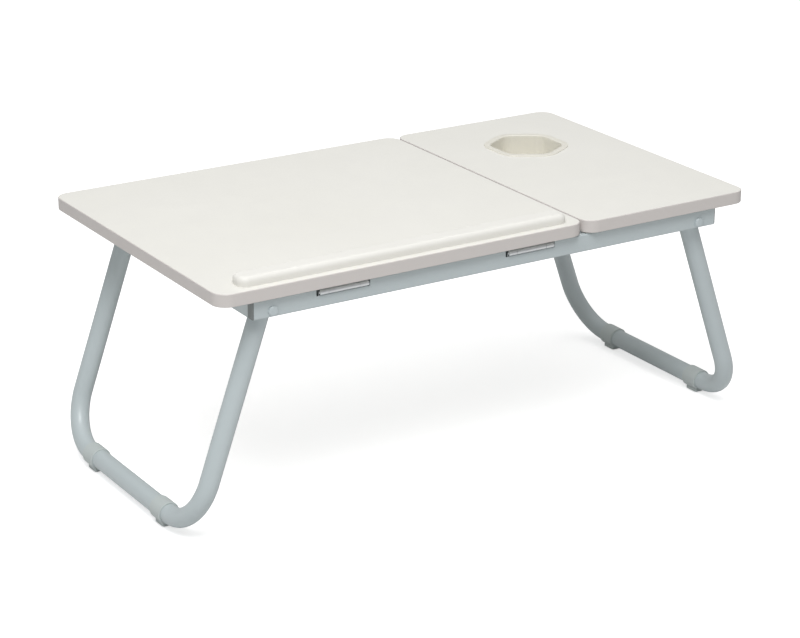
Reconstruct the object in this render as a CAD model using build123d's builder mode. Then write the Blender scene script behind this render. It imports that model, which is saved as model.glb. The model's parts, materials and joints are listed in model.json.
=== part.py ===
from build123d import *
import os
from math import cos, degrees, hypot, radians, sin, tan

# Folding tray table. Millimetres, +Z up, X along the long side, floor at Z = 0.

# --- overall sizes -------------------------------------------------------
TOP = 250.0            # table surface above the floor
TOP_LEN = 600.0
TOP_WID = 350.0
BOARD_T = 12.5
BAND_T = 1.0
CORNER_R = 15.0
SIDE_LEN = 200.0       # fixed side panel, measured from the middle of the seam
SEAM_GAP = 1.2
UNDER = TOP - BOARD_T  # underside of both panels
SCREW_COVER = 4.5      # board left above a screw tip

MAIN_X0, MAIN_X1 = -TOP_LEN / 2, TOP_LEN / 2 - SIDE_LEN - SEAM_GAP / 2
SIDE_X0, SIDE_X1 = TOP_LEN / 2 - SIDE_LEN + SEAM_GAP / 2, TOP_LEN / 2
MAIN_MID = (MAIN_X0 + MAIN_X1) / 2

# --- clearances ----------------------------------------------------------
RUN = 0.05             # round pin in its hole
RAIL_GAP = 1.0         # rail top to panel
LEG_GAP = 1.0          # folded leg to what lies above it
END_GAP = 0.8          # leg to end bar
SIDE_PLAY = 0.1        # tube to washer
CUP_GAP = 0.5          # cup wall in its board hole
CUP_LEG_GAP = 0.4      # cup to folded leg
RACK_GAP = 2.0         # rack to folded leg

# --- frame ---------------------------------------------------------------
RAIL_D = 10.0          # rail, front to back
RAIL_H = 18.0
RAIL_WALL = 1.2
RAIL_EDGE_R = 1.8
PLUG_LEN = 11.0
PLUG_HEAD = 1.0
FRONT_SET = 5.0        # front rail behind the front edge of the top
BACK_SET = 33.0        # back rail in front of the back edge
END_SET = 36.5         # end bars inside the ends of the top
END_T = 7.5
STRAP_W = 20.0
STRAP_T = 2.5
FRONT_Y = -TOP_WID / 2 + FRONT_SET
BACK_Y = TOP_WID / 2 - BACK_SET
IN_F = FRONT_Y + RAIL_D
IN_B = BACK_Y - RAIL_D
END_X = TOP_LEN / 2 - END_SET
RAIL_X = END_X - PLUG_HEAD
RAIL_Z1 = UNDER - RAIL_GAP
RAIL_Z0 = RAIL_Z1 - RAIL_H

# --- legs ----------------------------------------------------------------
TUBE_R = 9.5
TUBE_WALL = 1.2
BEND_R = 50.0
SPLAY = radians(19.5)
FOOT_STAND = 4.5       # tube above the floor
TUBE_END = 5.0
RIVET_R = 3.0
RIVET_HEAD = 5.0
WASHER_T = 1.4
WASHER_R = 7.0
FOOT_WALL = 1.6
FOOT_LEN = 20.0
FOOT_GAP = 1.5         # foot clip to the start of the bend
FOOT_HALF = 6.0        # half width of the sole
PAD_W = 8.0
PAD_L = 13.0
PAD_H = 2.1
PAD_SHOW = 0.9
HOLE_R = RIVET_R + RUN
PIV_Z = UNDER - STRAP_T - LEG_GAP - TUBE_R
PIV_X = END_X - END_T - END_GAP - TUBE_R / cos(SPLAY) - (PIV_Z - RAIL_Z0) * tan(SPLAY)
BAR_Z = TUBE_R + FOOT_STAND
BAR_X = PIV_X + (PIV_Z - BAR_Z) * tan(SPLAY)
LEG_L = (PIV_Z - BAR_Z) / cos(SPLAY)
LEG_YF = IN_F + WASHER_T + SIDE_PLAY + TUBE_R
LEG_YB = IN_B - WASHER_T - SIDE_PLAY - TUBE_R
LEG_YC = (LEG_YF + LEG_YB) / 2
FOOT_R = TUBE_R + FOOT_WALL
FOOT_OFF = (LEG_YB - LEG_YF) / 2 - BEND_R - FOOT_GAP - FOOT_LEN / 2

# --- hinges --------------------------------------------------------------
HINGE_LEN = 52.0
HINGE_IN = (130.5, 61.4)   # hinge centres from the two ends of the main panel
HINGE_PROUD = 0.5
BARREL_R = 2.4
PIN_R = 1.0
LEAF_T = 1.2
ARM_T = 1.5
BARREL_GAP = 0.9
NOTCH_GAP = 2.5
NOTCH_D = 6.5
NOTCH_DROP = 1.0
KNUCKLE = 9.0
KNUCKLE_GAP = 0.3
HINGE_Y = FRONT_Y - HINGE_PROUD
HINGE_Z = UNDER - LEAF_T - BARREL_GAP - BARREL_R
HINGE_X = (MAIN_X0 + HINGE_IN[0], MAIN_X1 - HINGE_IN[1])
NOTCH_Z = HINGE_Z - BARREL_R - NOTCH_DROP
LEAF_REACH = 37.0
HSCREW_Y = HINGE_Y + 30.0
HSCREW_DX = 16.0

# --- prop and rack -------------------------------------------------------
PROP_R = 2.5
PROP_W = 95.0
PROP_END = 17.0
PROP_BEND = 6.0
PROP_GAP = 1.0         # prop to panel
CLIP_W = 9.0
CLIP_OUT = 12.0        # clip centres outside the prop's arms
CLIP_FOOT = 2.2
CLIP_WRAP = 2.0
TIP_GAP = 6.0          # prop tip to the strap
RACK_TAB = 8.0
RACK_T = 3.0
RACK_DEEP = 7.4
RACK_DROP = 1.1        # rack below the resting prop
RACK_STRAP_T = 1.5
TOOTH = 3.0
STEPS = (10.0, 18.0, 25.0, 30.0, 34.0)
TIP_Y = LEG_YB - TUBE_R - RACK_GAP - RACK_TAB - TIP_GAP
PROP_A = (TIP_Y - HINGE_Y) / 2
PROP_Y = HINGE_Y + PROP_A
PROP_Z = UNDER - PROP_GAP - PROP_R
PROP_X0, PROP_X1 = MAIN_MID - PROP_W / 2, MAIN_MID + PROP_W / 2
CLIP_X = (PROP_X0 - CLIP_OUT, PROP_X1 + CLIP_OUT)
CLIP_SCREW_Y = PROP_Y + 11.0
STRAP_Y = TIP_Y + TIP_GAP
RACK_Z1 = PROP_Z - PROP_R - RACK_DROP
RACK_Z0 = RACK_Z1 - RACK_DEEP

# --- screws --------------------------------------------------------------
SCREW_R = 1.5
SCREW_HEAD = 2.8
SCREW_HEAD_H = 1.5
SCREW_TOP = TOP - SCREW_COVER
SCREW_IN = 70.0        # side panel screws from the rails
END_SEAT = RAIL_Z0 + 7.5
STRAP_X = SIDE_X0 + 4.5 + STRAP_W / 2
SIDE_SCREWS = tuple((x, y) for x in (STRAP_X, END_X - END_T / 2) for y in (IN_F + SCREW_IN, IN_B - SCREW_IN))

# --- stop ledge ----------------------------------------------------------
LEDGE_SET = 8.5        # behind the front edge
LEDGE_W = 23.0
LEDGE_H = 9.0
LEDGE_IN = (27.0, 14.4)
LEDGE_R = 9.0
LEDGE_FIL = 5.0

# --- cup holder ----------------------------------------------------------
CUP_R = 40.0
CUP_FIL = 15.0
CUP_DEPTH = 30.0
CUP_WALL = 1.6
CUP_DRAFT = 3.0
CUP_FLANGE = 8.5
CUP_RIM = 1.0
CUP_SET = 98.5         # cup centre from the end of the top
CUP_X = TOP_LEN / 2 - CUP_SET
CUP_Y = LEG_YB - TUBE_R - CUP_LEG_GAP - (CUP_R + CUP_WALL) + (CUP_FIL + CUP_WALL) * (1 / cos(radians(30)) - 1)

os.makedirs("parts", exist_ok=True)


def save(part, name):
    shape = part.part if hasattr(part, "part") else part
    shape.label = name
    export_step(shape, "parts/" + name + ".step")


def block(x0, x1, y0, y1, z0, z1, mode=Mode.ADD):
    with Locations(((x0 + x1) / 2, (y0 + y1) / 2, (z0 + z1) / 2)):
        Box(x1 - x0, y1 - y0, z1 - z0, mode=mode)


def rod_y(x, z, y0, y1, r, mode=Mode.ADD):
    with Locations(Location((x, (y0 + y1) / 2, z), (90, 0, 0))):
        Cylinder(r, abs(y1 - y0), mode=mode)


def rod_x(y, z, x0, x1, r, mode=Mode.ADD):
    with Locations(Location(((x0 + x1) / 2, y, z), (0, 90, 0))):
        Cylinder(r, abs(x1 - x0), mode=mode)


def rod_z(x, y, z0, z1, r, mode=Mode.ADD):
    with Locations((x, y, (z0 + z1) / 2)):
        Cylinder(r, abs(z1 - z0), mode=mode)


# --- table tops ----------------------------------------------------------
def outline(x0, x1, inset, h, z0):
    with BuildPart() as p:
        with BuildSketch(Plane.XY.offset(z0)):
            with Locations(((x0 + x1) / 2, 0)):
                RectangleRounded(x1 - x0 - 2 * inset, TOP_WID - 2 * inset, CORNER_R - inset)
        extrude(amount=h)
    return p.part


def edge_band(x0, x1, name):
    with BuildPart() as p:
        add(outline(x0, x1, 0, BOARD_T, UNDER))
        rims = [e for e in p.edges() if abs(e.center().Z - TOP) < 0.01 or abs(e.center().Z - UNDER) < 0.01]
        fillet(rims, 0.8)
        add(outline(x0, x1, BAND_T, BOARD_T + 2, UNDER - 1), mode=Mode.SUBTRACT)
    save(p, name)


with BuildPart() as main_panel:
    add(outline(MAIN_X0, MAIN_X1, BAND_T, BOARD_T, UNDER))
    for hx in HINGE_X:
        for dx in (-HSCREW_DX, HSCREW_DX):
            rod_z(hx + dx, HSCREW_Y, UNDER - 1, SCREW_TOP, SCREW_R, Mode.SUBTRACT)
    for cx in CLIP_X:
        rod_z(cx, CLIP_SCREW_Y, UNDER - 1, SCREW_TOP, SCREW_R, Mode.SUBTRACT)
save(main_panel, "main_panel")
edge_band(MAIN_X0, MAIN_X1, "main_panel_edge_band")


def hexagon(r, fil):
    with BuildSketch() as s:
        RegularPolygon(radius=r, side_count=6, rotation=90)
        fillet(s.vertices(), fil)
    return s.sketch


with BuildPart() as side_panel:
    add(outline(SIDE_X0, SIDE_X1, BAND_T, BOARD_T, UNDER))
    with BuildSketch(Plane.XY.offset(UNDER - 1)):
        with Locations((CUP_X, CUP_Y)):
            add(hexagon(CUP_R + CUP_WALL + CUP_GAP, CUP_FIL + CUP_WALL))
    extrude(amount=BOARD_T + 2, mode=Mode.SUBTRACT)
    for sx, sy in SIDE_SCREWS:
        rod_z(sx, sy, UNDER - 1, SCREW_TOP, SCREW_R, Mode.SUBTRACT)
save(side_panel, "side_panel")
edge_band(SIDE_X0, SIDE_X1, "side_panel_edge_band")

# Stop ledge along the front of the tilting panel.
LEDGE_X0, LEDGE_X1 = MAIN_X0 + LEDGE_IN[0], MAIN_X1 - LEDGE_IN[1]
LEDGE_Y0 = -TOP_WID / 2 + LEDGE_SET
LEDGE_Y1 = LEDGE_Y0 + LEDGE_W
with BuildPart() as ledge:
    with BuildSketch(Plane.XY.offset(TOP)):
        with Locations(((LEDGE_X0 + LEDGE_X1) / 2, (LEDGE_Y0 + LEDGE_Y1) / 2)):
            RectangleRounded(LEDGE_X1 - LEDGE_X0, LEDGE_W, LEDGE_R)
    extrude(amount=LEDGE_H)
    fillet([e for e in ledge.edges() if abs(e.center().Z - TOP - LEDGE_H) < 0.01], LEDGE_FIL)
save(ledge, "stop_ledge")

# Cup holder: a flanged hexagonal dish dropped into the side panel.
with BuildPart() as cup:
    with BuildSketch(Plane.XY.offset(TOP)):
        with Locations((CUP_X, CUP_Y)):
            add(hexagon(CUP_R + CUP_FLANGE, CUP_FIL + CUP_FLANGE))
    extrude(amount=CUP_RIM)
    fillet([e for e in cup.edges() if abs(e.center().Z - TOP - CUP_RIM) < 0.01], 0.6)
    with BuildSketch(Plane.XY.offset(TOP)):
        with Locations((CUP_X, CUP_Y)):
            add(hexagon(CUP_R + CUP_WALL, CUP_FIL + CUP_WALL))
    extrude(amount=-(CUP_DEPTH + CUP_WALL), taper=CUP_DRAFT)
    with BuildSketch(Plane.XY.offset(TOP + CUP_RIM)):
        with Locations((CUP_X, CUP_Y)):
            add(hexagon(CUP_R, CUP_FIL))
    extrude(amount=-(CUP_DEPTH + CUP_RIM), taper=CUP_DRAFT, mode=Mode.SUBTRACT)
    lip = [e for e in cup.edges() if abs(e.center().Z - TOP - CUP_RIM) < 0.01]
    fillet(lip, 0.6)
save(cup, "cup_holder")

# --- frame ---------------------------------------------------------------
def rail_bore(y0):
    with BuildPart() as bore:
        block(-RAIL_X - 1, RAIL_X + 1, y0 + RAIL_WALL, y0 + RAIL_D - RAIL_WALL, RAIL_Z0 + RAIL_WALL, RAIL_Z1 - RAIL_WALL)
        fillet(bore.edges().filter_by(Axis.X), RAIL_EDGE_R - RAIL_WALL + 0.2)
    return bore.part


def rail(y0, name, notches=()):
    y1 = y0 + RAIL_D
    bore = rail_bore(y0)
    with BuildPart() as p:
        block(-RAIL_X, RAIL_X, y0, y1, RAIL_Z0, RAIL_Z1)
        fillet(p.edges().filter_by(Axis.X), RAIL_EDGE_R)
        add(bore, mode=Mode.SUBTRACT)
        for s in (-1, 1):
            rod_y(s * PIV_X, PIV_Z, y0 - 1, y1 + 1, HOLE_R, Mode.SUBTRACT)
        for nx in notches:
            h = HINGE_LEN / 2 + NOTCH_GAP
            block(nx - h, nx + h, y0 - 1, y0 + NOTCH_D, NOTCH_Z, TOP, Mode.SUBTRACT)
            block(nx - h, nx + h, y0 - 1, y1 + 1, UNDER - LEAF_T - 3.3, TOP, Mode.SUBTRACT)
    save(p, name)


rail(FRONT_Y, "front_rail", HINGE_X)
rail(IN_B, "back_rail")

def plug_stem(x0, x1, y0):
    m = RAIL_WALL + 0.05
    with BuildPart() as stem:
        block(x0, x1, y0 + m, y0 + RAIL_D - m, RAIL_Z0 + m, RAIL_Z1 - m)
        fillet(stem.edges().filter_by(Axis.X), RAIL_EDGE_R - RAIL_WALL + 0.25)
    return stem.part


for nm, y0 in (("front", FRONT_Y), ("back", IN_B)):
    for sd, s in (("left", -1), ("right", 1)):
        xa, xb = sorted((s * RAIL_X, s * (RAIL_X - PLUG_LEN)))
        stem = plug_stem(xa, xb, y0)
        xa, xb = sorted((s * RAIL_X, s * END_X))
        with BuildPart() as plug:
            block(xa, xb, y0 + 0.2, y0 + RAIL_D - 0.2, RAIL_Z0 + 0.2, RAIL_Z1 - 0.2)
            fillet(plug.edges().filter_by(Axis.X), RAIL_EDGE_R - 0.2)
            add(stem)
        save(plug, f"{nm}_{sd}_rail_plug")

for sd, s, top in (("left", -1, RAIL_Z1), ("right", 1, UNDER)):
    with BuildPart() as bar:
        xa, xb = sorted((s * (END_X - END_T), s * END_X))
        block(xa, xb, IN_F, IN_B, RAIL_Z0, top)
        fillet(bar.edges().filter_by(Axis.Y), 0.6)
        if s > 0:
            for sx, sy in SIDE_SCREWS[2:]:
                rod_z(sx, sy, RAIL_Z0 - 1, END_SEAT, SCREW_HEAD + 0.1, Mode.SUBTRACT)
                rod_z(sx, sy, RAIL_Z0 - 1, TOP, SCREW_R + RUN, Mode.SUBTRACT)
    save(bar, f"{sd}_end_bar")

with BuildPart() as strap:
    block(STRAP_X - STRAP_W / 2, STRAP_X + STRAP_W / 2, IN_F, IN_B, UNDER - STRAP_T, UNDER)
    for sx, sy in SIDE_SCREWS[:2]:
        rod_z(sx, sy, UNDER - STRAP_T - 1, TOP, SCREW_R + RUN, Mode.SUBTRACT)
save(strap, "centre_strap")


def wood_screw(x, y, z_seat, name, head_r=SCREW_HEAD, head_h=SCREW_HEAD_H):
    with BuildPart() as p:
        rod_z(x, y, z_seat, SCREW_TOP, SCREW_R)
        rod_z(x, y, z_seat - head_h, z_seat, head_r)
        fillet([e for e in p.edges() if abs(e.center().Z - z_seat + head_h) < 0.01 and e.length > 6.0], 0.9)
        with Locations((x, y, z_seat - head_h + 0.35)):
            Box(2.6, 0.7, 0.7, mode=Mode.SUBTRACT)
            Box(0.7, 2.6, 0.7, mode=Mode.SUBTRACT)
    save(p, name)


for i, (sx, sy) in enumerate(SIDE_SCREWS):
    seat = UNDER - STRAP_T if i < 2 else END_SEAT
    wood_screw(sx, sy, seat, f"side_panel_screw_{i + 1}")

for i, bx in enumerate((MAIN_X0 + 80.0, MAIN_X1 - 36.5)):
    with BuildPart() as bump:
        block(bx - 8, bx + 8, IN_B + 1.5, BACK_Y - 1.5, RAIL_Z1, UNDER - 0.05)
        fillet(bump.edges().filter_by(Axis.Z), 3.0)
    save(bump, f"panel_bumper_{i + 1}")

# --- leg pivots ----------------------------------------------------------
for nm, out, inn, leg_y in (("front", FRONT_Y, IN_F, LEG_YF), ("back", BACK_Y, IN_B, LEG_YB)):
    d = 1 if nm == "front" else -1
    for sd, s in (("left", -1), ("right", 1)):
        x = s * PIV_X
        with BuildPart() as rv:
            tip = leg_y + d * (TUBE_R + 0.3)
            rod_y(x, PIV_Z, out - d * 0.5, tip + d * 0.5, RIVET_R)
            rod_y(x, PIV_Z, out - d * 2.4, out, RIVET_HEAD)
            rod_y(x, PIV_Z, tip, tip + d * 1.8, RIVET_HEAD - 0.5)
            rims = [e for e in rv.edges() if abs(e.center().Y - (out - d * 2.4)) < 0.01]
            fillet(rims, 1.9)
            rims = [e for e in rv.edges() if abs(e.center().Y - (tip + d * 1.8)) < 0.01]
            fillet(rims, 1.2)
        save(rv, f"{nm}_{sd}_pivot_rivet")
        with BuildPart() as ws:
            rod_y(x, PIV_Z, inn, inn + d * WASHER_T, WASHER_R)
            rod_y(x, PIV_Z, inn - d, inn + d * (WASHER_T + 1), HOLE_R, Mode.SUBTRACT)
        save(ws, f"{nm}_{sd}_pivot_washer")

# --- legs ----------------------------------------------------------------
for sd, s in (("left", -1), ("right", 1)):
    ux, uz = s * sin(SPLAY), -cos(SPLAY)
    pl = Plane(origin=(s * PIV_X, 0, PIV_Z), x_dir=(0, 1, 0), z_dir=(-uz, 0, s * sin(SPLAY)))
    with BuildPart() as leg:
        with BuildLine(pl) as ln:
            Polyline((LEG_YF, TUBE_END), (LEG_YF, -LEG_L), (LEG_YB, -LEG_L), (LEG_YB, TUBE_END))
            corners = [v for v in ln.vertices() if v.Z < BAR_Z + 1]
            fillet(corners, BEND_R)
        path = ln.wires()[0]
        with BuildSketch(Plane(origin=path @ 0, z_dir=path % 0)):
            Circle(TUBE_R)
            Circle(TUBE_R - TUBE_WALL, mode=Mode.SUBTRACT)
        sweep(path=path)
        for y in (LEG_YF, LEG_YB):
            rod_y(s * PIV_X, PIV_Z, y - TUBE_R - 2, y + TUBE_R + 2, HOLE_R, Mode.SUBTRACT)
    save(leg, f"{sd}_leg_tube")
    for nm, y in (("front", LEG_YC - FOOT_OFF), ("back", LEG_YC + FOOT_OFF)):
        x = s * BAR_X
        with BuildPart() as foot:
            rod_y(x, BAR_Z, y - FOOT_LEN / 2, y + FOOT_LEN / 2, FOOT_R)
            rims = [e for e in foot.edges() if e.geom_type == GeomType.CIRCLE]
            fillet(rims, FOOT_WALL * 0.6)
            block(x - FOOT_HALF, x + FOOT_HALF, y - FOOT_LEN / 2 + 1.5, y + FOOT_LEN / 2 - 1.5, PAD_SHOW, BAR_Z)
            sole = foot.edges().filter_by(Axis.Z)
            fillet(sole, 2.0)
            rod_y(x, BAR_Z, y - FOOT_LEN, y + FOOT_LEN, TUBE_R + RUN, Mode.SUBTRACT)
            block(x - PAD_W / 2, x + PAD_W / 2, y - PAD_L / 2, y + PAD_L / 2, 0, PAD_H, Mode.SUBTRACT)
        save(foot, f"{sd}_{nm}_foot_clip")
        with BuildPart() as pad:
            block(x - PAD_W / 2 + RUN, x + PAD_W / 2 - RUN, y - PAD_L / 2 + RUN, y + PAD_L / 2 - RUN, 0, PAD_H)
            fillet(pad.edges().filter_by(Axis.Z), 1.0)
        save(pad, f"{sd}_{nm}_foot_pad")

# --- tilt hinges ---------------------------------------------------------
LEAF_Z1 = NOTCH_Z - 0.2
for nm, hx in (("left", HINGE_X[0]), ("right", HINGE_X[1])):
    x0, x1 = hx - HINGE_LEN / 2, hx + HINGE_LEN / 2
    wall_y = FRONT_Y + RAIL_WALL
    with BuildPart() as fl:
        block(x0, x1, wall_y, wall_y + ARM_T, RAIL_Z0 + RAIL_WALL + 0.9, LEAF_Z1)
        for a, b in ((x0, x0 + KNUCKLE), (x1 - KNUCKLE, x1)):
            block(a, b, wall_y, wall_y + ARM_T, LEAF_Z1 - 0.8, HINGE_Z)
            rod_x(HINGE_Y, HINGE_Z, a, b, BARREL_R)
            rod_x(HINGE_Y, HINGE_Z, a - 1, b + 1, PIN_R, Mode.SUBTRACT)
    save(fl, f"{nm}_hinge_frame_leaf")
    with BuildPart() as pn:
        rod_x(HINGE_Y, HINGE_Z, x0 - 0.8, x1 + 0.8, PIN_R)
    save(pn, f"{nm}_hinge_pin")
    a, b = x0 + KNUCKLE + KNUCKLE_GAP, x1 - KNUCKLE - KNUCKLE_GAP
    with BuildPart() as pf:
        block(x0, x1, wall_y, HINGE_Y + LEAF_REACH, UNDER - LEAF_T, UNDER)
        block(a, b, wall_y, wall_y + ARM_T, HINGE_Z, UNDER)
        rod_x(HINGE_Y, HINGE_Z, a, b, BARREL_R)
        rod_x(HINGE_Y, HINGE_Z, a - 1, b + 1, PIN_R + RUN, Mode.SUBTRACT)
        for dx in (-HSCREW_DX, HSCREW_DX):
            rod_z(hx + dx, HSCREW_Y, UNDER - LEAF_T - 1, TOP, SCREW_R + RUN, Mode.SUBTRACT)
    save(pf, f"{nm}_hinge_panel_leaf")
    for i, dx in enumerate((-HSCREW_DX, HSCREW_DX)):
        wood_screw(hx + dx, HSCREW_Y, UNDER - LEAF_T, f"{nm}_hinge_screw_{i + 1}")

# --- prop and racks ------------------------------------------------------
with BuildPart() as prop:
    with BuildLine(Plane.XY.offset(PROP_Z)) as ln:
        Polyline((PROP_X0 - PROP_END, PROP_Y), (PROP_X0, PROP_Y), (PROP_X0, TIP_Y), (PROP_X1, TIP_Y), (PROP_X1, PROP_Y), (PROP_X1 + PROP_END, PROP_Y))
        inner = [v for v in ln.vertices() if PROP_X0 - 1 < v.X < PROP_X1 + 1]
        fillet(inner, PROP_BEND)
    path = ln.wires()[0]
    with BuildSketch(Plane(origin=path @ 0, z_dir=path % 0)):
        Circle(PROP_R)
    sweep(path=path)
save(prop, "prop_rod")

for i, cx in enumerate(CLIP_X):
    with BuildPart() as clip:
        block(cx - CLIP_W / 2, cx + CLIP_W / 2, PROP_Y - PROP_R - 2.5, PROP_Y + PROP_R + 2.5, PROP_Z - PROP_R - CLIP_WRAP, UNDER)
        fillet([e for e in clip.edges().filter_by(Axis.X) if e.center().Z < PROP_Z - PROP_R], 3.5)
        block(cx - CLIP_W / 2, cx + CLIP_W / 2, PROP_Y, CLIP_SCREW_Y + 5, UNDER - CLIP_FOOT, UNDER)
        rod_x(PROP_Y, PROP_Z, cx - 6, cx + 6, PROP_R + RUN, Mode.SUBTRACT)
        rod_z(cx, CLIP_SCREW_Y, UNDER - CLIP_FOOT - 1, TOP, SCREW_R + RUN, Mode.SUBTRACT)
    save(clip, ("left", "right")[i] + "_prop_clip")
    wood_screw(cx, CLIP_SCREW_Y, UNDER - CLIP_FOOT, ("left", "right")[i] + "_prop_clip_screw")

with BuildPart() as rs:
    block(PROP_X0 + 2, PROP_X1 - 2, STRAP_Y, IN_B, RAIL_Z1 - RACK_STRAP_T, RAIL_Z1)
    block(PROP_X0 + 2, PROP_X1 - 2, IN_B - WASHER_T + 0.2, IN_B, RAIL_Z1 - RAIL_H / 2, RAIL_Z1)
save(rs, "rack_strap")


def tooth_y(angle):
    t = radians(angle)
    return HINGE_Y + 2 * PROP_A * cos(t) - (PROP_Z - HINGE_Z) * sin(t)


RACK_Y0, RACK_Y1 = tooth_y(STEPS[-1]) - 12.0, STRAP_Y + RACK_TAB
for nm, xa in (("left", PROP_X0 + 10), ("right", PROP_X1 - 10 - RACK_T)):
    pts = [(RACK_Y0, RACK_Z0), (RACK_Y1, RACK_Z0), (RACK_Y1, RAIL_Z1 - RACK_STRAP_T), (STRAP_Y + 0.5, RAIL_Z1 - RACK_STRAP_T), (STRAP_Y + 0.5, RACK_Z1)]
    for th in STEPS:
        y = tooth_y(th)
        pts += [(y + 2.8, RACK_Z1), (y + 2.8, RACK_Z1 - TOOTH), (y - 1.6, RACK_Z1 - TOOTH), (y - 4.8, RACK_Z1)]
    pts += [(RACK_Y0, RACK_Z1)]
    with BuildPart() as rk:
        with BuildSketch(Plane(origin=(xa, 0, 0), x_dir=(0, 1, 0), z_dir=(1, 0, 0))):
            with BuildLine():
                Polyline(*pts, close=True)
            make_face()
        extrude(amount=RACK_T)
    save(rk, f"{nm}_rack")
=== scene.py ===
"""Folding tray table: finishes, refined pieces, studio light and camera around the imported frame."""

from __future__ import annotations

import json
import logging
import math
from dataclasses import dataclass
from enum import Enum
from typing import Sequence

import bpy
from mathutils import Matrix, Vector

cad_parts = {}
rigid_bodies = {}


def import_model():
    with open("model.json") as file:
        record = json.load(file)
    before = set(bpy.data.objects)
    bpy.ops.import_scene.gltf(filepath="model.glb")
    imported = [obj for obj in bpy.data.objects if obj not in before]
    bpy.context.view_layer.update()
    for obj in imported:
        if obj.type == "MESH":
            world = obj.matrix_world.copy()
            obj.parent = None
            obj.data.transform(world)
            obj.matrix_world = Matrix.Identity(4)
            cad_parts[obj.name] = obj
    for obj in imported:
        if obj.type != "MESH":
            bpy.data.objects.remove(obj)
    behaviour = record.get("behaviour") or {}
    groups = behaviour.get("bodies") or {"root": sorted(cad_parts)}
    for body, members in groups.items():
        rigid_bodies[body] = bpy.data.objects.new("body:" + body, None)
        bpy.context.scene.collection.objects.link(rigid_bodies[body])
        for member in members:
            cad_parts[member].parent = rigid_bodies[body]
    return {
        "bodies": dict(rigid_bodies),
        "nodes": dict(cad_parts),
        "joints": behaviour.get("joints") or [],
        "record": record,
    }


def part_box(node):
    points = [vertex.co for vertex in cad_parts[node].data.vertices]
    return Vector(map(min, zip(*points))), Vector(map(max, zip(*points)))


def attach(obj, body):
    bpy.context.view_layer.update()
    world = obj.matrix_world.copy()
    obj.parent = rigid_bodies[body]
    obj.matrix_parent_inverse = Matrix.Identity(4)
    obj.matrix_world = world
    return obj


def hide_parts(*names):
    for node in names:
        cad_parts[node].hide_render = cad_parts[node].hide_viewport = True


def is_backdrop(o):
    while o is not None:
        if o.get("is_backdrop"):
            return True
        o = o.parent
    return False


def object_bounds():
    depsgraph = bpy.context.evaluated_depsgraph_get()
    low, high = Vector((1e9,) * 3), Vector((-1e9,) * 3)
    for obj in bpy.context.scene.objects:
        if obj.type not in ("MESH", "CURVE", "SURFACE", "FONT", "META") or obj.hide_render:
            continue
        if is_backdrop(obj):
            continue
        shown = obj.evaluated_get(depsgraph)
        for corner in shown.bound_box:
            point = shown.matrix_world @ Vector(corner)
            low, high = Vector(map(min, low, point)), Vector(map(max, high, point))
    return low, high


LOG = logging.getLogger("tray_table")

NOISE_LOW, NOISE_HIGH = 0.35, 0.65  # the middle range of a noise texture
FLECK_CUT = 0.62  # cells above this value carry a fleck
HAIRLINE = 0.012  # half width of a scratch, in noise units
COAT_ROUGHNESS = 0.18
SCUFF_RELIEF = 0.00002  # metres
HEX_STRETCH = 1.0 / math.cos(math.radians(30.0))  # corner distance over flat distance

Ring = list[Vector]
Profile = list[tuple[float, float]]


class Side(Enum):
    """Which end of the table a piece belongs to."""

    LEFT = "left"
    RIGHT = "right"

    @property
    def sign(self) -> float:
        """Sign of X on this side."""
        return -1.0 if self is Side.LEFT else 1.0


class Row(Enum):
    """Which long edge of the table a piece is near."""

    FRONT = "front"
    BACK = "back"


class Texture(Enum):
    """Surface character of a finish."""

    SMOOTH_LAMINATE = "smooth_laminate"
    EDGE_STRIP = "edge_strip"
    POWDER_COAT = "powder_coat"
    MOULDED = "moulded"
    DRAWN_METAL = "drawn_metal"
    RUBBER = "rubber"


# ---------------------------------------------------------------------------
# Shared shader groups
# ---------------------------------------------------------------------------


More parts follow.
